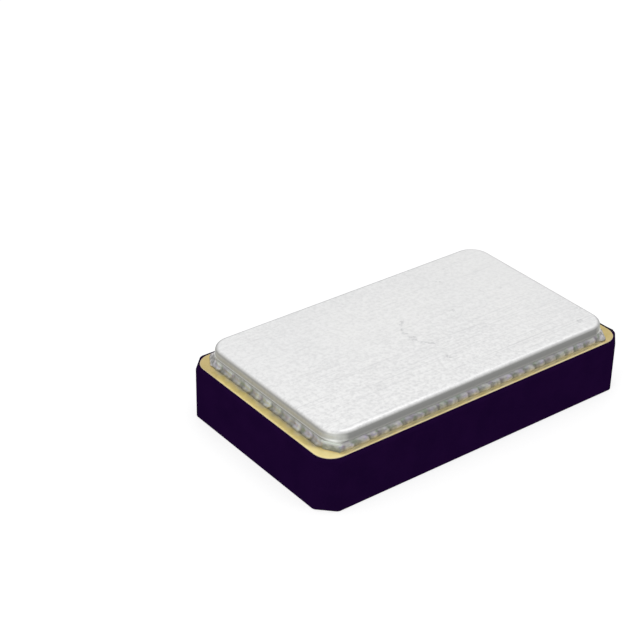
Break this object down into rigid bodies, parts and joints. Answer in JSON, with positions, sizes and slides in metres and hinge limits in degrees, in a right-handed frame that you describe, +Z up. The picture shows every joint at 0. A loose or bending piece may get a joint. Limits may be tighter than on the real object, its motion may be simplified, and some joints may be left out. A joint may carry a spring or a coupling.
{
  "type": "crystal oscillator",
  "caption": "Flat rectangular surface-mount crystal oscillator: dark ceramic base with cut corners, gold sealing band and terminal pads, and a seam-welded raised metal lid.",
  "frame": {"origin": "centre of the footprint, on the plane that the four terminal pads rest on", "axes": "+X along the length, +Y across the width, +Z up through the lid; the crystal's held end and terminals 1 and 4 are at -X"},
  "size_m": [0.006, 0.0036, 0.0012],
  "materials": {
    "ceramic": "matte",
    "gold_pad": "satin",
    "gold_band": "satin",
    "braze": "satin",
    "ring_metal": "satin",
    "lid_metal": "satin",
    "weld_metal": "satin",
    "gold_trace": "satin",
    "gold_wire": "polished",
    "via_metal": "matte",
    "adhesive": "matte",
    "silicon": "gloss",
    "electrode": "satin",
    "quartz": "polished"
  },
  "bodies": {
    "root": {"ceramic_base": "ceramic", "terminal_pad_1": "gold_pad", "terminal_pad_2": "gold_pad", "terminal_pad_3": "gold_pad", "terminal_pad_4": "gold_pad", "terminal_via_1": "via_metal", "terminal_via_2": "via_metal", "terminal_via_3": "via_metal", "terminal_via_4": "via_metal", "bond_trace_1": "gold_trace", "bond_trace_2": "gold_trace", "bond_trace_3": "gold_trace", "bond_trace_4": "gold_trace", "crystal_trace_1": "gold_trace", "crystal_trace_2": "gold_trace", "crystal_via_1": "via_metal", "crystal_via_2": "via_metal", "crystal_land_1": "gold_trace", "crystal_land_2": "gold_trace", "ring_via": "via_metal", "die_land": "gold_trace", "die_attach": "adhesive", "oscillator_die": "silicon", "bond_wire_1": "gold_wire", "bond_wire_2": "gold_wire", "bond_wire_3": "gold_wire", "bond_wire_4": "gold_wire", "bond_wire_5": "gold_wire", "bond_wire_6": "gold_wire", "adhesive_dot_1": "adhesive", "adhesive_dot_2": "adhesive", "electrode_bottom": "electrode", "quartz_blank": "quartz", "electrode_top": "electrode", "sealing_band": "gold_band", "ring_braze": "braze", "seal_ring": "ring_metal", "lid": "lid_metal", "seam_weld": "weld_metal"}
  },
  "joints": []
}
